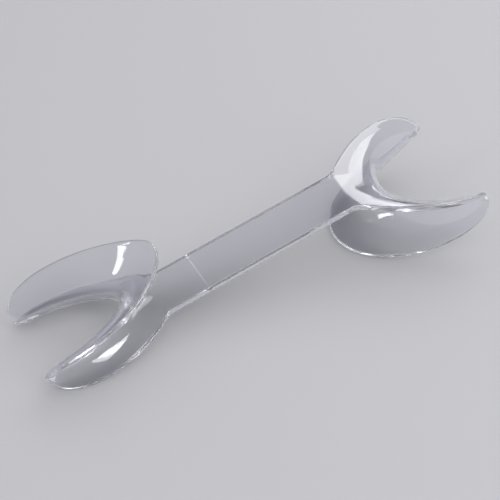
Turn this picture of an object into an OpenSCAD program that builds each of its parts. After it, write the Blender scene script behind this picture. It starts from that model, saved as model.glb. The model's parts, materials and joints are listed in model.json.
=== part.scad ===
// Double-ended cheek retractor: one clear moulding with a flat strip handle and a saddle-shaped head
// at each end. Each head is a sheet bent into a C that opens away from the handle. Its section is a
// sideways U: an outer flange in line with the handle, a rounded lip channel and an inner flange
// that reaches back over the handle. The small head's inner flange points up and the large head's
// points down, so the retractor rests on a table at a slight lean.

/* [Handle] */
// Length of the handle between the two heads
handle_length = 74; // [60:1:110]
// Width of the handle
handle_width = 18; // [14:0.5:20]
// Thickness of the handle where it meets the heads
handle_thickness = 2.5; // [2:0.1:3]
// Length of the thicker panel in the middle of the handle
panel_length = 42; // [30:1:50]
// Extra thickness of the middle panel on each face
panel_step = 0.1; // [0.05:0.05:0.2]

/* [Small head] */
// Distance from the handle to the tips of the small head
small_reach = 45.6; // [40:0.1:52]
// Half of the small head's width across the outer flange
small_half_width = 20; // [18:0.1:24]
// Half of the space between the small head's tips
small_tip_spread = 13.8; // [12:0.1:16]
// Height of the small head's tips over the outer flange
small_tip_rise = 8; // [6:0.1:9]
// Gap between the small head's flanges over the handle
small_gap = 22.9; // [19:0.1:25]
// Distance from the handle to the bottom of the small head's C
small_throat = 11.2; // [10:0.1:14]

/* [Large head] */
// Distance from the handle to the tips of the large head
large_reach = 45.4; // [40:0.1:52]
// Half of the large head's width across the outer flange
large_half_width = 25; // [22:0.1:28]
// Half of the space between the large head's tips
large_tip_spread = 21.3; // [19:0.1:23]
// Height of the large head's tips over the outer flange
large_tip_rise = 8.7; // [7:0.1:10]
// Gap between the large head's flanges over the handle
large_gap = 21.7; // [19:0.1:25]
// Distance from the handle to the bottom of the large head's C
large_throat = 16.1; // [14:0.1:18]
// Angle at which the large head dips from the line of the handle
large_dip = 8; // [4:0.5:10]

/* [Walls] */
// Thickness of the heads' sheet away from the handle
sheet_thickness = 1.9; // [1.6:0.1:2.2]
// Thickness of the sheet at the tips of the heads
tip_thickness = 1.3; // [1.1:0.1:1.4]
// Height of the U at the tips, between the middles of its two flanges
tip_gap = 1.5; // [1.5:0.1:2.2]
// How far the rounded noses of the tips stand past the ends of the rims
nose_length = 0.6; // [0.4:0.1:1]

/* [Hidden] */

// A head is worked out in its own frame: x away from the handle, y to one side and z towards the
// inner flange, with the origin in the middle of the handle's end. One half is worked out and the
// other is its mirror image in y.
small_tip = [small_reach, small_tip_spread, small_tip_rise];
large_tip = [large_reach, large_tip_spread, large_tip_rise];
// From each tip to the end of its outer rim, and to the end of its lip channel
small_gap_half = [0, 0.9, tip_gap / 2];
large_gap_half = [0, 0.4, tip_gap / 2];
small_inset = [1.3, 1.6, -0.1];
large_inset = [1.9, 0.9, 0.4];

// A head is a list of the three Bezier curves that shape one half of it, each from the middle of
// the head to the tip: its outer rim, the bottom of its lip channel and its inner rim. The outer
// rim's first two points are left out here. They follow from the place where it leaves the handle.
// The angle at which the head dips and the way its nose points come after the curves.
OUTER = 0;
THROAT = 1;
INNER = 2;
DIP = 3;
NOSE = 4;
small_head = [
    [
        [0.14 * small_reach, 0.88 * small_half_width, 0],
        [0.51 * small_reach, 1.18 * small_half_width, 0],
        [0.99 * small_reach, 1.18 * small_half_width, 0.09 * small_tip_rise],
        small_tip - small_gap_half
    ],
    [
        [small_throat, 0, 0.33 * small_gap],
        [small_throat, 0.27 * small_half_width, 0.33 * small_gap],
        [0.54 * small_reach, 0.81 * small_half_width, 0.33 * small_gap],
        small_tip - small_inset
    ],
    [
        [-0.12 * small_reach, 0, small_gap],
        [-0.12 * small_reach, 0.36 * small_half_width, small_gap],
        [0.09 * small_reach, 0.83 * small_half_width, 0.64 * small_gap],
        [0.56 * small_reach, 1.38 * small_half_width, 0.89 * small_gap],
        [1.09 * small_reach, 1.01 * small_half_width, 0.72 * small_gap],
        small_tip + small_gap_half
    ],
    0,
    nose_length * small_inset / norm(small_inset)
];
large_head = [
    [
        [0.206 * large_reach, 0.82 * large_half_width, 0],
        [0.608 * large_reach, 1.34 * large_half_width, 0],
        [0.95 * large_reach, 0.99 * large_half_width, 0.11 * large_tip_rise],
        large_tip - large_gap_half
    ],
    [
        [large_throat, 0, 0.42 * large_gap],
        [large_throat, 0.36 * large_half_width, 0.42 * large_gap],
        [0.52 * large_reach, 0.88 * large_half_width, 0.48 * large_gap],
        large_tip - large_inset
    ],
    [
        [-0.078 * large_reach, 0, large_gap],
        [-0.078 * large_reach, 0.66 * large_half_width, large_gap],
        [0.353 * large_reach, 1.08 * large_half_width, large_gap],
        [0.845 * large_reach, 1.11 * large_half_width, 0.97 * large_gap],
        [1.07 * large_reach, 0.96 * large_half_width, 0.61 * large_gap],
        large_tip + large_gap_half
    ],
    large_dip,
    nose_length * large_inset / norm(large_inset)
];

// Columns of the mesh in each half of a head: those along the handle's end, those before the nose
// and those that close the nose, which are given as shares of the way to its point
end_columns = 4;
even_columns = 17;
column_width = 1 / 18;
nose_shares = [0.5, 0.8, 0.95];
columns = even_columns + len(nose_shares);
corner_u = end_columns * column_width;
nose_u = even_columns * column_width;
// Rows of the mesh across the sheet, as shares of the way from the outer rim to the inner rim
outer_rows = [0, 0.07, 0.14, 0.21, 0.28];
channel_rows = [0.28, 0.35, 0.42, 0.49, 0.56, 0.63, 0.70];
inner_rows = [0.70, 0.78, 0.86, 0.93, 1];
all_rows = concat(outer_rows, channel_rows, inner_rows);
// Share of the way across the sheet in which it settles after the handle's square end
cut_rows = 0.3;
// Step for the slopes of the sheet
fine = 0.001;

function mix(a, b, t) = a * (1 - t) + b * t;

function bezier(points, t) = len(points) == 1
    ? points[0]
    : bezier([for (i = [0:len(points) - 2]) mix(points[i], points[i + 1], t)], t);

// How far a point lies past the handle's corner and past the start of the nose, from 0 to 1
function past_corner(u) = max(0, u - corner_u) / (1 - corner_u);
function past_nose(u) = max(0, u - nose_u) / (1 - nose_u);

// Where a column lies, below 0 on the mirrored half
function column_u(i) = sign(i) * (
    abs(i) <= even_columns
        ? abs(i) * column_width
        : nose_u + (1 - nose_u) * nose_shares[abs(i) - even_columns - 1]
);

// The outer rim runs on under the handle to the middle of the head. Its first two points are set
// back alike, so that it crosses the middle square and passes through the handle's corner.
first_share = (1 - corner_u) ^ 5;
second_share = 5 * corner_u * (1 - corner_u) ^ 4;
function outer_curve(head) =
    let (rest = bezier(concat([[0, 0, 0], [0, 0, 0]], head[OUTER]), corner_u))
    let (back = rest.x / (first_share + second_share))
    let (out = (handle_width / 2 - rest.y) / second_share)
    concat([[-back, 0, 0], [-back, out, 0]], head[OUTER]);

// The middle of the sheet, u from the middle of the head to its tip and v from the outer rim to the
// inner rim. Across the sheet it is a cubic Bezier curve that leaves the outer rim level and turns
// back at the bottom of the lip channel. The handle's end cuts off what lies behind it.
function flat_sheet(head, u, v) =
    let (
        start = bezier(outer_curve(head), u),
        end = bezier(head[INNER], u),
        turn = (8 * bezier(head[THROAT], u) - start - end) / 6,
        side = [(end.x - start.x) / 4, (end.y - start.y) / 4, turn.z - start.z],
        cut = u < corner_u - fine ? -start.x * max(0, 1 - v / cut_rows) ^ 3 : 0
    )
    bezier([start, turn - side, turn + side, end], v) + [cut, 0, 0];

function dipped(p, angle) = [
    p.x * cos(angle) - p.z * sin(angle),
    p.y,
    p.z * cos(angle) + p.x * sin(angle)
];

function sheet(head, u, v) = dipped(flat_sheet(head, u, v), head[DIP]);

function unit(a) = a / norm(a);

// Across the sheet, towards the inside of the C. The handle's end stays square to the handle.
function across(head, u, v) =
    v == 0 && u < corner_u + fine ? [0, 0, 1] :
    let (
        along = u == 0 ? [0, 1, 0] : sheet(head, u, v) - sheet(head, u - fine, v),
        over = v < 0.5
            ? sheet(head, u, v + fine) - sheet(head, u, v)
            : sheet(head, u, v) - sheet(head, u, v - fine)
    )
    unit(cross(over, along));

function thickness(u, v) = sheet_thickness
    + (handle_thickness - sheet_thickness) * ((1 - past_corner(u)) * (1 - v)) ^ 2
    - (sheet_thickness - tip_thickness) * past_corner(u) ^ 4;

// The point that a column shrinks to as it goes round the nose
function nose_centre(head, u) = (sheet(head, u, 0) + sheet(head, u, 1)) / 2
    + dipped(head[NOSE], head[DIP]) * past_nose(u);

// A point of one face of the sheet on the half that is worked out, where face is 1 or -1
function half_point(head, u, v, face) =
    let (
        p = sheet(head, u, v) + across(head, u, v) * face * thickness(u, v) / 2,
        centre = nose_centre(head, u)
    )
    centre + (p - centre) * sqrt(1 - past_nose(u) ^ 2);

function face_point(head, u, v, face) =
    let (p = half_point(head, abs(u), v, face))
    [p.x, u < 0 ? -p.y : p.y, p.z];

function face_points(head, rows, face) = [
    for (i = [-columns:columns]) for (v = rows) face_point(head, column_u(i), v, face)
];

// Both heads in the handle's frame, whose origin is the middle of the handle
function small_place(p) = [-handle_length / 2 - p.x, p.y, p.z];
function large_place(p) = [handle_length / 2 + p.x, p.y, -p.z];

small_points = [
    for (face = [-1, 1]) for (p = face_points(small_head, all_rows, face)) small_place(p)
];
large_points = [
    for (face = [-1, 1]) for (p = face_points(large_head, all_rows, face)) large_place(p)
];

// The lean at which both heads touch the table, found by halving the range that holds it
function height(p, lean) = p.x * sin(lean) + p.z * cos(lean);
function lowest(points, lean) = min([for (p = points) height(p, lean)]);
function find_lean(low, high, steps) =
    let (middle = (low + high) / 2)
    steps == 0 ? middle :
    lowest(small_points, middle) > lowest(large_points, middle)
        ? find_lean(middle, high, steps - 1)
        : find_lean(low, middle, steps - 1);
rest_lean = find_lean(0, 30, 24);
rest_height = lowest(small_points, rest_lean);
function level(p) = p.x * cos(rest_lean) - p.z * sin(rest_lean);
rest_centre = (
    min([for (p = small_points) level(p)]) + max([for (p = large_points) level(p)])
) / 2;

module resting() {
    translate([-rest_centre, 0, -rest_height])
        rotate([0, -rest_lean, 0])
            children();
}

// A solid strip of the sheet between two rows
module strip(points, row_count) {
    column_count = 2 * columns + 1;
    layer = column_count * row_count;
    function at(i, j, side) = side * layer + i * row_count + j;
    function both(a, b, c, d) = [[a, b, c], [a, c, d]];
    faces = concat(
        [for (i = [0:column_count - 2]) for (j = [0:row_count - 2])
            for (f = both(at(i, j, 0), at(i + 1, j, 0), at(i + 1, j + 1, 0), at(i, j + 1, 0))) f],
        [for (i = [0:column_count - 2]) for (j = [0:row_count - 2])
            for (f = both(at(i, j, 1), at(i, j + 1, 1), at(i + 1, j + 1, 1), at(i + 1, j, 1))) f],
        [for (i = [0:column_count - 2])
            for (f = both(at(i, 0, 0), at(i, 0, 1), at(i + 1, 0, 1), at(i + 1, 0, 0))) f],
        [for (i = [0:column_count - 2])
            for (f = both(at(i, row_count - 1, 0), at(i + 1, row_count - 1, 0),
                at(i + 1, row_count - 1, 1), at(i, row_count - 1, 1))) f],
        [for (j = [0:row_count - 2])
            for (f = both(at(0, j, 0), at(0, j + 1, 0), at(0, j + 1, 1), at(0, j, 1))) f],
        [for (j = [0:row_count - 2])
            for (f = both(at(column_count - 1, j, 0), at(column_count - 1, j, 1),
                at(column_count - 1, j + 1, 1), at(column_count - 1, j + 1, 0))) f]
    );
    polyhedron(points, faces, convexity = 6);
}

module small_strip(rows) {
    points = [
        for (face = [-1, 1]) for (p = face_points(small_head, rows, face)) small_place(p)
    ];
    resting() strip(points, len(rows));
}

module large_strip(rows) {
    points = [
        for (face = [-1, 1]) for (p = face_points(large_head, rows, face)) large_place(p)
    ];
    resting() strip(points, len(rows));
}

// A block of the handle from one x to another
module handle_block(from, to, thick) {
    resting()
        translate([from, -handle_width / 2, -thick / 2])
            cube([to - from, handle_width, thick]);
}

module handle_centre_panel() {
    color([0.86, 0.87, 0.92, 0.6])
        handle_block(-panel_length / 2, panel_length / 2, handle_thickness + 2 * panel_step);
}

module handle_small_end() {
    color([0.80, 0.82, 0.90, 0.6])
        handle_block(-handle_length / 2, -panel_length / 2, handle_thickness);
}

module handle_large_end() {
    color([0.80, 0.82, 0.90, 0.6])
        handle_block(panel_length / 2, handle_length / 2, handle_thickness);
}

module small_outer_flange() {
    color([0.82, 0.84, 0.91, 0.6]) small_strip(outer_rows);
}

module small_lip_channel() {
    color([0.90, 0.91, 0.95, 0.6]) small_strip(channel_rows);
}

module small_inner_flange() {
    color([0.78, 0.81, 0.90, 0.6]) small_strip(inner_rows);
}

module large_outer_flange() {
    color([0.82, 0.84, 0.91, 0.6]) large_strip(outer_rows);
}

module large_lip_channel() {
    color([0.90, 0.91, 0.95, 0.6]) large_strip(channel_rows);
}

module large_inner_flange() {
    color([0.78, 0.81, 0.90, 0.6]) large_strip(inner_rows);
}

handle_centre_panel();
handle_small_end();
handle_large_end();
small_outer_flange();
small_lip_channel();
small_inner_flange();
large_outer_flange();
large_lip_channel();
large_inner_flange();
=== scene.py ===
import json
import math

import bpy
import numpy as np
from mathutils import Matrix, Vector


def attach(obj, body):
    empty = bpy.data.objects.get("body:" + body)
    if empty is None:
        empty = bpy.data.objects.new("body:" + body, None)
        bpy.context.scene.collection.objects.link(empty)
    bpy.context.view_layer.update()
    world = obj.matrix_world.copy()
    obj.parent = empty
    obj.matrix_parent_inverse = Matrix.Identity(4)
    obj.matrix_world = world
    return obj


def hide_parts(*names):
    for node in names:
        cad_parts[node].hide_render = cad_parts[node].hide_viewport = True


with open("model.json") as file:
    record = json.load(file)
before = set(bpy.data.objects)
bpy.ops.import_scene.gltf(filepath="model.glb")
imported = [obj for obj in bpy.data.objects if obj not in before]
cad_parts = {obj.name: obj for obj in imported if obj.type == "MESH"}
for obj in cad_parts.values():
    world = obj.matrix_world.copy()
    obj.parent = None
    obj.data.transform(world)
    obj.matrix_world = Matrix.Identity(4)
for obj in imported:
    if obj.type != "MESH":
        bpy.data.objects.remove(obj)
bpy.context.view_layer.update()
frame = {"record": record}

MM = 0.001

# ---------------------------------------------------------------- sizes, in millimetres, as in the CAD
HANDLE_LENGTH = 74.0
HANDLE_WIDTH = 18.0
HANDLE_THICKNESS = 2.5
PANEL_LENGTH = 42.0
PANEL_STEP = 0.1
SHEET_THICKNESS = 1.9
TIP_THICKNESS = 1.3
TIP_GAP = 1.5
NOSE_LENGTH = 0.6

# Places on a head's sheet, as shares of the way from its middle to a tip (u) or across it (v)
CORNER_U = 4 / 18  # the handle's corner, where the outer rim comes free
NOSE_U = 17 / 18  # where the tip starts to close
CUT_V = 0.3  # where the sheet has settled after the handle's square end
CHANNEL_START_V, CHANNEL_END_V = 0.28, 0.70


def head_curves(reach, half_width, tip_spread, tip_rise, gap, inset, turn, outer, throat, inner):
    """The three Bezier curves that shape half a head, given as shares of its sizes, and its nose."""
    tip = np.array([reach, tip_spread, tip_rise])
    half_gap = np.array([0, turn, TIP_GAP / 2])
    inset = np.array(inset)
    outer = [np.array([a * reach, b * half_width, c * tip_rise]) for a, b, c in outer]
    inner = [np.array([a * reach, b * half_width, c * gap]) for a, b, c in inner]
    near, near_height, far, far_out, far_height = throat
    throat = [
        np.array([near, 0, near_height * gap]),
        np.array([near, far_out[0] * half_width, near_height * gap]),
        np.array([far * reach, far_out[1] * half_width, far_height * gap]),
    ]
    nose = inset / np.linalg.norm(inset) * NOSE_LENGTH
    return outer + [tip - half_gap], throat + [tip - inset], inner + [tip + half_gap], nose


SMALL_HEAD = head_curves(
    reach=45.6, half_width=20.0, tip_spread=13.8, tip_rise=8.0, gap=22.9, inset=(1.3, 1.6, -0.1), turn=0.9,
    outer=[(0.14, 0.88, 0), (0.51, 1.18, 0), (0.99, 1.18, 0.09)],
    throat=(11.2, 0.33, 0.54, (0.27, 0.81), 0.33),
    inner=[(-0.12, 0, 1), (-0.12, 0.36, 1), (0.09, 0.83, 0.64), (0.56, 1.38, 0.89), (1.09, 1.01, 0.72)],
)
LARGE_HEAD = head_curves(
    reach=45.4, half_width=25.0, tip_spread=21.3, tip_rise=8.7, gap=21.7, inset=(1.9, 0.9, 0.4), turn=0.4,
    outer=[(0.206, 0.82, 0), (0.608, 1.34, 0), (0.95, 0.99, 0.11)],
    throat=(16.1, 0.42, 0.52, (0.36, 0.88), 0.48),
    inner=[(-0.078, 0, 1), (-0.078, 0.66, 1), (0.353, 1.08, 1), (0.845, 1.11, 0.97), (1.07, 0.96, 0.61)],
)
LARGE_DIP = math.radians(8)

# Roundings that the CAD leaves square
ARRIS = 0.35  # radius of the handle's long arrises
SHARP = 0.02  # what is left of a radius that has run out
OUTER_ROUND, INNER_ROUND = 0.9, 0.92  # radius of a rim, as a share of half the sheet's thickness
ROUND_RUN = 0.07  # how soon after the corner the outer rim is round, in u
STEP_RUN = 0.55  # length of the ramp at each end of the centre panel

# ---------------------------------------------------------------- mesh density
RIM_STEPS = 6  # from the middle of a rim to a face
JUNCTION_COLUMNS = 8  # from the middle of the handle to its corner
FREE_COLUMNS = 64  # from the corner to where the tip starts to close
CAP_COLUMNS = 9  # round the tip
PANEL_LOOPS = 15  # along the level part of the centre panel
OUTER_ROWS = 16
CHANNEL_ROWS = 32
INNER_ROWS = 20
FACE_ROWS = RIM_STEPS + OUTER_ROWS + CHANNEL_ROWS + INNER_ROWS + RIM_STEPS
ARC_SAMPLES = 1500  # points that measure the length of a column
SLOPE_STEP = 5e-4  # step in u and v for the sheet's slopes


def smooth(x):
    x = np.clip(x, 0, 1)
    return x * x * (3 - 2 * x)


def bezier(points, t):
    t = np.asarray(t, float)[..., None]
    points = [np.asarray(p, float) for p in points]
    while len(points) > 1:
        points = [a * (1 - t) + b * t for a, b in zip(points, points[1:])]
    return points[0]


def past_corner(u):
    return np.maximum(0, u - CORNER_U) / (1 - CORNER_U)


def half_thickness(u, v):
    """Half of the sheet's thickness: the handle's at its end, and thinner at the tips."""
    return (
        SHEET_THICKNESS
        + (HANDLE_THICKNESS - SHEET_THICKNESS) * ((1 - past_corner(u)) * (1 - v)) ** 2
        - (SHEET_THICKNESS - TIP_THICKNESS) * past_corner(u) ** 4
    ) / 2


def rim_profile(half, radius):
    """Distance from the rim and height over the middle of the sheet, from the rim's middle to the face."""
    points = [(0.0, 0.0)]
    for k in range(RIM_STEPS):
        a = math.pi / 2 * k / (RIM_STEPS - 1)
        points.append((radius * (1 - math.cos(a)), half - radius + radius * math.sin(a)))
    return points


class Head:
    """One head's sheet, in the handle's frame. u runs from tip to tip and v from the outer rim to the inner."""

    def __init__(self, curves, dip, place):
        outer, self.throat, self.inner, self.nose = curves
        # The outer rim starts under the handle. Its first two points make it pass through the corner.
        first, second = (1 - CORNER_U) ** 5, 5 * CORNER_U * (1 - CORNER_U) ** 4
        rest = bezier([np.zeros(3), np.zeros(3)] + outer, CORNER_U)
        back = rest[0] / (first + second)
        out = (HANDLE_WIDTH / 2 - rest[1]) / second
        self.outer = [np.array([-back, 0, 0]), np.array([-back, out, 0])] + outer
        self.dip, self.place = dip, place

    def dipped(self, x, y, z):
        c, s = math.cos(self.dip), math.sin(self.dip)
        return np.stack([x * c - z * s, y, z * c + x * s], -1)

    def sheet(self, u, v):
        """A point in the middle of the sheet."""
        u, v = np.broadcast_arrays(np.asarray(u, float), np.asarray(v, float))
        w = np.abs(u)
        start, end = bezier(self.outer, w), bezier(self.inner, w)
        turn = (8 * bezier(self.throat, w) - start - end) / 6
        side = np.stack(
            [(end[..., 0] - start[..., 0]) / 4, (end[..., 1] - start[..., 1]) / 4, turn[..., 2] - start[..., 2]], -1
        )
        p = bezier([start, turn - side, turn + side, end], v)
        p[..., 0] += np.where(w < CORNER_U, -start[..., 0] * np.maximum(0, 1 - v / CUT_V) ** 3, 0)
        return self.dipped(p[..., 0], np.where(u < 0, -p[..., 1], p[..., 1]), p[..., 2])

    def across(self, u, v):
        """Unit normal of the sheet, towards the inside of the C."""
        u, v = np.broadcast_arrays(np.asarray(u, float), np.asarray(v, float))
        e = SLOPE_STEP
        along = self.sheet(np.minimum(u + e, 1), v) - self.sheet(np.maximum(u - e, -1), v)
        over = self.sheet(u, np.minimum(v + e, 1)) - self.sheet(u, np.maximum(v - e, 0))
        n = np.cross(over, along)
        n /= np.linalg.norm(n, axis=-1, keepdims=True)
        n[(v == 0) & (np.abs(u) < CORNER_U + 1e-6)] = (0, 0, 1)
        return n

    def column(self, u):
        """Both faces of one column, [face, row, xyz], each from the outer rim's middle to the inner rim's."""
        w = abs(u)
        free = w > CORNER_U - 1e-6
        fine = np.linspace(0, 1, ARC_SAMPLES)
        line = self.sheet(u, fine)
        arc = np.concatenate([[0], np.cumsum(np.linalg.norm(np.diff(line, axis=0), axis=1))])

        half0, half1 = float(half_thickness(w, 0.0)), float(half_thickness(w, 1.0))
        round0 = half0 * (SHARP + OUTER_ROUND * float(smooth((w - CORNER_U) / ROUND_RUN)))
        rim0 = rim_profile(half0, round0) if free else [(0, half0 * k / RIM_STEPS) for k in range(RIM_STEPS + 1)]
        rim1 = rim_profile(half1, half1 * INNER_ROUND)

        # Rows lie evenly along the column within each region, and closer on the rims.
        a, b = np.interp([CHANNEL_START_V, CHANNEL_END_V], fine, arc)
        d0, d1 = rim0[-1][0], arc[-1] - rim1[-1][0]
        stops = np.concatenate([
            [d for d, h in rim0],
            np.linspace(d0, a, OUTER_ROWS + 1)[1:],
            np.linspace(a, b, CHANNEL_ROWS + 1)[1:],
            np.linspace(b, d1, INNER_ROWS + 1)[1:],
            [arc[-1] - d for d, h in rim1[-2::-1]],
        ])
        v = np.interp(stops, arc, fine)
        v[0] = 0.0
        if not free:
            v[: RIM_STEPS + 1] = 0.0

        height = half_thickness(w, v)
        height[: RIM_STEPS + 1] *= [h / half0 for d, h in rim0]
        height[-RIM_STEPS - 1:] *= [h / half1 for d, h in rim1[::-1]]
        middle, n = self.sheet(u, v), self.across(u, v)
        faces = np.stack([middle + n * height[:, None], middle - n * height[:, None]])
        if w > NOSE_U:
            s = (w - NOSE_U) / (1 - NOSE_U)
            centre = self.centre(u)
            faces = centre + (faces - centre) * math.sqrt(max(0.0, 1 - s * s))
        return faces

    def centre(self, u):
        """The point that a column shrinks to as it goes round the nose."""
        x, y, z = self.nose * (abs(u) - NOSE_U) / (1 - NOSE_U)
        return self.sheet(u, np.array([0.0, 1.0])).mean(0) + self.dipped(x, math.copysign(y, u), z)


class Body:
    """Vertices of the whole moulding, shared by its pieces, so that their normals run on from one to the next."""

    def __init__(self):
        self.points, self.faces, self.count = [], {}, 0

    def add(self, points):
        """Adds vertices and gives the number of the first."""
        points = np.asarray(points, float).reshape(-1, 3)
        first = self.count
        self.points.append(points)
        self.count += len(points)
        return first

    def all_points(self):
        return np.concatenate(self.points)

    def add_faces(self, faces, names):
        """Adds the faces of one closed skin to the pieces named, turned so that they face outwards."""
        p = self.all_points()
        volume = 0.0
        for f in faces:
            for b, c in zip(f[1:], f[2:]):
                volume += np.dot(p[f[0]], np.cross(p[b], p[c]))
        for f, name in zip(faces, names):
            self.faces.setdefault(name, []).append(f if volume > 0 else f[::-1])


body = Body()


# ---------------------------------------------------------------- heads
def column_places():
    """Where the columns lie, from tip to tip: even to the corner, then closer towards it and round the nose."""
    free = np.linspace(0, 1, FREE_COLUMNS + 1)[1:]
    cap = np.sin(np.linspace(0, math.pi / 2, CAP_COLUMNS + 1))[1:-1]
    half = np.concatenate([
        CORNER_U * np.arange(1, JUNCTION_COLUMNS + 1) / JUNCTION_COLUMNS,
        CORNER_U + (NOSE_U - CORNER_U) * (0.55 * free + 0.45 * free ** 2),
        NOSE_U + (1 - NOSE_U) * cap,
    ])
    return np.concatenate([-half[::-1], [0.0], half]), len(half)


def add_head(prefix, head):
    """Adds a head's three pieces and gives the vertices of its columns at the handle's end."""
    us, middle = column_places()
    ids = np.zeros((len(us), 2, FACE_ROWS + 1), int)
    for i, u in enumerate(us):
        first = body.add(head.place(head.column(u)))
        ids[i] = first + np.arange(2 * (FACE_ROWS + 1)).reshape(2, -1)
        ids[i, 1, 0], ids[i, 1, -1] = ids[i, 0, 0], ids[i, 0, -1]
    poles = [body.add(head.place(head.centre(u))) for u in (-1, 1)]

    junction = range(middle - JUNCTION_COLUMNS, middle + JUNCTION_COLUMNS)
    channel_start = RIM_STEPS + OUTER_ROWS
    channel_end = channel_start + CHANNEL_ROWS
    regions = {
        "outer_flange": (0, channel_start),
        "lip_channel": (channel_start, channel_end),
        "inner_flange": (channel_end, FACE_ROWS),
    }
    made, names = [], []
    for region, (low, high) in regions.items():
        for j in range(low, high):
            for side in (0, 1):
                for i in range(len(us) - 1):
                    if i in junction and j < RIM_STEPS:
                        continue  # the handle's end is open here, to join the handle
                    f = (ids[i, side, j], ids[i + 1, side, j], ids[i + 1, side, j + 1], ids[i, side, j + 1])
                    made.append(f if side == 0 else f[::-1])
                for i, pole in ((0, poles[0]), (len(us) - 1, poles[1])):
                    f = (ids[i, side, j], ids[i, side, j + 1], pole)
                    made.append(f if (side == 0) == (i == 0) else f[::-1])
        names += [f"{prefix}_{region}"] * (len(made) - len(names))
    body.add_faces(made, names)
    return ids[middle - JUNCTION_COLUMNS: middle + JUNCTION_COLUMNS + 1]


def small_place(p):
    return np.stack([-HANDLE_LENGTH / 2 - p[..., 0], p[..., 1], p[..., 2]], -1)


def large_place(p):
    return np.stack([HANDLE_LENGTH / 2 + p[..., 0], p[..., 1], -p[..., 2]], -1)


small_edge = add_head("small", Head(SMALL_HEAD, 0.0, small_place))
large_edge = add_head("large", Head(LARGE_HEAD, LARGE_DIP, large_place))


# ---------------------------------------------------------------- handle, as loops joined end to end
def edge_loop(edge, top):
    """Vertices of a head's edge at the handle's end: the top, the +y side, the bottom and the -y side."""
    bottom = 1 - top
    k = RIM_STEPS
    loop = [edge[j, top, k] for j in range(len(edge))]
    loop += [edge[-1, top, i] for i in range(k - 1, -1, -1)] + [edge[-1, bottom, i] for i in range(1, k)]
    loop += [edge[j, bottom, k] for j in range(len(edge) - 1, -1, -1)]
    loop += [edge[0, bottom, i] for i in range(k - 1, -1, -1)] + [edge[0, top, i] for i in range(1, k)]
    return loop


small_loop, large_loop = edge_loop(small_edge, 0), edge_loop(large_edge, 1)
placed = body.all_points()
small_y = placed[small_loop[: len(small_edge)], 1]
large_y = placed[large_loop[: len(large_edge)], 1]


def handle_loop(x, half, radius=ARRIS):
    """A section of the handle at x, with the vertices in the order of edge_loop."""
    share = x / HANDLE_LENGTH + 0.5
    w = HANDLE_WIDTH / 2
    ys = (small_y * (1 - share) + large_y * share) * (1 - radius / w)
    rim = rim_profile(half, radius)[:-1]
    points = [(x, y, half) for y in ys]
    points += [(x, w - d, h) for d, h in rim[::-1]] + [(x, w - d, -h) for d, h in rim[1:]]
    points += [(x, y, -half) for y in ys[::-1]]
    points += [(x, d - w, -h) for d, h in rim[::-1]] + [(x, d - w, h) for d, h in rim[1:]]
    first = body.add(points)
    return list(range(first, first + len(points)))


def add_tube(loops_by_piece):
    made, names = [], []
    for piece, loops in loops_by_piece:
        for a, b in zip(loops, loops[1:]):
            for i in range(len(a)):
                j = (i + 1) % len(a)
                made.append((a[i], b[i], b[j], a[j]))
                names.append(piece)
    body.add_faces(made, names)


half_end = HANDLE_THICKNESS / 2
half_panel = half_end + PANEL_STEP
panel_end, handle_end = PANEL_LENGTH / 2, HANDLE_LENGTH / 2
# Each loop beside the panel, with its share of the arris, which runs out at the heads
end_loops = [(panel_end + 0.25, 1), (panel_end + 4, 1), (handle_end - 6, 1), (handle_end - 1.6, 1)]
end_loops += [(handle_end - 0.8, 0.6), (handle_end - 0.3, 0.2)]
right = [handle_loop(x, half_end, max(SHARP, ARRIS * share)) for x, share in end_loops]
left = [handle_loop(-x, half_end, max(SHARP, ARRIS * share)) for x, share in end_loops]
level_end = panel_end - 2 * STEP_RUN
panel = [handle_loop(x, half_panel) for x in np.linspace(-level_end, level_end, PANEL_LOOPS)]
panel_left = [handle_loop(-panel_end, half_end), handle_loop(-panel_end + STEP_RUN, half_panel)]
panel_right = [handle_loop(panel_end - STEP_RUN, half_panel), handle_loop(panel_end, half_end)]
add_tube([
    ("handle_small_end", [small_loop] + left[::-1] + [panel_left[0]]),
    ("handle_centre_panel", panel_left + panel + panel_right),
    ("handle_large_end", [panel_right[1]] + right + [large_loop]),
])

# ---------------------------------------------------------------- the handle's frame inside the row's frame
mounts = {m["name"]: m for m in frame["record"]["mounts"]}
top_face, bottom_face = mounts["handle_top_face"], mounts["handle_bottom_face"]
origin = (Vector(top_face["pos_m"]) + Vector(bottom_face["pos_m"])) / 2
up = Vector(top_face["axis"]).normalized()
sideways = Vector((0, 1, 0))
to_row = Matrix((sideways.cross(up), sideways, up)).transposed()

points = body.all_points() * MM @ np.array(to_row).T + np.array(origin)
normals = np.zeros_like(points)
for faces in body.faces.values():
    for f in faces:
        quad = points[list(f)]
        normals[list(f)] += np.cross(quad[2] - quad[0], quad[-1] - quad[1])
length = np.linalg.norm(normals, axis=1, keepdims=True)
normals /= np.where(length > 0, length, 1)


# ---------------------------------------------------------------- materials
def node(nt, kind, inputs=(), **values):
    """A new node. Inputs that are sockets are linked, and the others are set."""
    n = nt.nodes.new(kind)
    for k, x in values.items():
        setattr(n, k, x)
    for k, x in dict(inputs).items():
        if isinstance(x, bpy.types.NodeSocket):
            nt.links.new(x, n.inputs[k])
        else:
            n.inputs[k].default_value = x
    return n


def new_material(name):
    m = bpy.data.materials.new(name)
    m.use_nodes = True
    m.node_tree.nodes.clear()
    return m, m.node_tree


def noise(nt, place, scale, detail):
    return node(nt, "ShaderNodeTexNoise", {"Vector": place, "Scale": scale, "Detail": detail}).outputs["Fac"]


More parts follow.
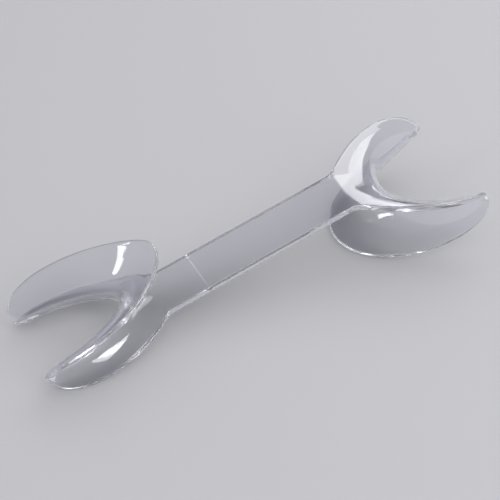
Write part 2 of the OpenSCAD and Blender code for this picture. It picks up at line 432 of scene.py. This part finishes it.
def clear_plastic():
    """Moulded clear plastic with a faint lavender tint, slow flow ripples and smears in its polish."""
    m, nt = new_material("clear_polycarbonate")
    place = node(nt, "ShaderNodeTexCoord").outputs["Object"]
    smears = node(nt, "ShaderNodeMapRange", {
        "Value": noise(nt, place, 160.0, 4.0), "From Min": 0.35, "From Max": 0.7, "To Min": 0.01, "To Max": 0.04,
    })
    ripples = node(nt, "ShaderNodeBump", {
        "Height": noise(nt, place, 70.0, 1.5), "Distance": 0.0004, "Strength": 0.07,
    })
    polish = node(nt, "ShaderNodeBump", {
        "Height": noise(nt, place, 900.0, 3.0), "Distance": 0.00002, "Strength": 0.02,
        "Normal": ripples.outputs["Normal"],
    })
    plastic = node(nt, "ShaderNodeBsdfPrincipled", {
        "Base Color": (0.94, 0.935, 0.985, 1),
        "Transmission Weight": 1.0,
        "IOR": 1.58,
        "Roughness": smears.outputs["Result"],
        "Normal": polish.outputs["Normal"],
    })
    # Lamps shine through it, less where the sheet is seen edge on, so that it casts a pale shadow.
    edge = node(nt, "ShaderNodeLayerWeight", {"Blend": 0.35})
    shade = node(
        nt, "ShaderNodeMix",
        {"Factor": edge.outputs["Facing"], "A": (0.985, 0.985, 0.99, 1), "B": (0.66, 0.67, 0.71, 1)},
        data_type="RGBA",
    )
    lamps = node(nt, "ShaderNodeBsdfTransparent", {"Color": shade.outputs["Result"]})
    ray = node(nt, "ShaderNodeLightPath")
    mix = node(nt, "ShaderNodeMixShader", {
        0: ray.outputs["Is Shadow Ray"], 1: plastic.outputs[0], 2: lamps.outputs[0],
    })
    node(nt, "ShaderNodeOutputMaterial", {"Surface": mix.outputs[0]})
    return m


def floor_material():
    m, nt = new_material("pale_floor")
    place = node(nt, "ShaderNodeTexCoord").outputs["Object"]
    grain = node(nt, "ShaderNodeBump", {
        "Height": noise(nt, place, 300.0, 4.0), "Distance": 0.00005, "Strength": 0.1,
    })
    paint = node(nt, "ShaderNodeBsdfPrincipled", {
        "Base Color": (0.49, 0.49, 0.505, 1), "Roughness": 0.7, "Normal": grain.outputs["Normal"],
    })
    node(nt, "ShaderNodeOutputMaterial", {"Surface": paint.outputs[0]})
    return m


# ---------------------------------------------------------------- pieces
plastic = clear_plastic()
for name, faces in body.faces.items():
    used = sorted({i for f in faces for i in f})
    renumber = {old: new for new, old in enumerate(used)}
    mesh = bpy.data.meshes.new(name + "_clear")
    mesh.from_pydata([tuple(points[i]) for i in used], [], [[renumber[i] for i in f] for f in faces])
    mesh.validate()
    mesh.polygons.foreach_set("use_smooth", [True] * len(mesh.polygons))
    mesh.normals_split_custom_set_from_vertices([tuple(normals[i]) for i in used])
    mesh.materials.append(plastic)
    piece = bpy.data.objects.new(name + "_clear", mesh)
    bpy.context.scene.collection.objects.link(piece)
    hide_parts(name)
    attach(piece, "root")

# ---------------------------------------------------------------- stage
FLOOR_HALF = 3.0
floor_z = float(points[:, 2].min())
floor_mesh = bpy.data.meshes.new("floor")
floor_mesh.from_pydata(
    [(sx * FLOOR_HALF, sy * FLOOR_HALF, floor_z) for sx, sy in ((-1, -1), (1, -1), (1, 1), (-1, 1))],
    [], [(0, 1, 2, 3)],
)
floor_mesh.materials.append(floor_material())
floor = bpy.data.objects.new("floor", floor_mesh)
bpy.context.scene.collection.objects.link(floor)


def studio_world():
    """A dim room for the plastic to mirror, an even fill for the floor, and a pale backdrop for the camera."""
    world = bpy.data.worlds.new("studio")
    world.use_nodes = True
    nt = world.node_tree
    nt.nodes.clear()
    place = node(nt, "ShaderNodeTexCoord").outputs["Generated"]
    height = node(nt, "ShaderNodeSeparateXYZ", {"Vector": place}).outputs["Z"]
    ramp = node(nt, "ShaderNodeValToRGB", {"Fac": height})
    horizon, overhead = ramp.color_ramp.elements
    horizon.position, horizon.color = 0.0, (0.20, 0.20, 0.22, 1)
    overhead.position, overhead.color = 0.55, (0.12, 0.12, 0.13, 1)
    room = node(nt, "ShaderNodeBackground", {"Color": ramp.outputs["Color"]})
    fill = node(nt, "ShaderNodeBackground", {"Color": (0.50, 0.50, 0.52, 1)})
    backdrop = node(nt, "ShaderNodeBackground", {"Color": (0.60, 0.60, 0.62, 1)})
    ray = node(nt, "ShaderNodeLightPath")
    around = node(nt, "ShaderNodeMixShader", {
        0: ray.outputs["Is Diffuse Ray"], 1: room.outputs[0], 2: fill.outputs[0],
    })
    sky = node(nt, "ShaderNodeMixShader", {
        0: ray.outputs["Is Camera Ray"], 1: around.outputs[0], 2: backdrop.outputs[0],
    })
    node(nt, "ShaderNodeOutputWorld", {"Surface": sky.outputs[0]})
    return world


def area_light(name, azimuth, elevation, distance, size, watts, roll=0):
    """A softbox that faces the middle of the table. Azimuth is in degrees from +Y towards +X."""
    a, e = math.radians(azimuth), math.radians(elevation)
    position = Vector((math.sin(a) * math.cos(e), math.cos(a) * math.cos(e), math.sin(e))) * distance
    data = bpy.data.lights.new(name, "AREA")
    data.shape = "RECTANGLE"
    data.size, data.size_y = size
    data.energy = watts
    lamp = bpy.data.objects.new(name, data)
    bpy.context.scene.collection.objects.link(lamp)
    lamp.location = position
    lamp.rotation_mode = "QUATERNION"
    turned = Matrix.Rotation(math.radians(roll), 3, "Z").to_quaternion()
    lamp.rotation_quaternion = (-position).to_track_quat("-Z", "Y") @ turned


bpy.context.scene.world = studio_world()
area_light("softbox_front", azimuth=149, elevation=47, distance=1.2, size=(0.27, 0.90), watts=6.2, roll=-19)
area_light("softbox_back", azimuth=62, elevation=38, distance=1.4, size=(1.5, 0.55), watts=9.0)
area_light("strip_left", azimuth=-78, elevation=29, distance=1.2, size=(0.16, 0.8), watts=3.6, roll=45)

# ---------------------------------------------------------------- camera
CAMERA_AZIMUTH = math.radians(28.45)
CAMERA_ELEVATION = math.radians(44.10)
CAMERA_ROLL = math.radians(-0.12)
CAMERA_DISTANCE = 0.476
CAMERA_AIM = Vector((-0.0013, -0.0020, 0.0140))
camera_data = bpy.data.cameras.new("camera")
camera_data.sensor_width = 36.0
camera_data.lens = 100.7
camera_data.clip_start = 0.01
camera_data.clip_end = 50.0
camera = bpy.data.objects.new("camera", camera_data)
bpy.context.scene.collection.objects.link(camera)
look = Vector((
    math.sin(CAMERA_AZIMUTH) * math.cos(CAMERA_ELEVATION),
    math.cos(CAMERA_AZIMUTH) * math.cos(CAMERA_ELEVATION),
    -math.sin(CAMERA_ELEVATION),
))
camera.location = CAMERA_AIM - look * CAMERA_DISTANCE
camera.rotation_mode = "QUATERNION"
camera.rotation_quaternion = look.to_track_quat("-Z", "Y") @ Matrix.Rotation(CAMERA_ROLL, 3, "Z").to_quaternion()
bpy.context.scene.camera = camera

# Light passes many walls of clear plastic before it leaves.
bpy.context.scene.view_settings.view_transform = "Standard"
bpy.context.scene.cycles.transmission_bounces = 40
bpy.context.scene.cycles.glossy_bounces = 40
bpy.context.scene.cycles.max_bounces = 48
bpy.context.scene.cycles.transparent_max_bounces = 32
bpy.context.scene.cycles.caustics_refractive = False
bpy.context.scene.cycles.caustics_reflective = False
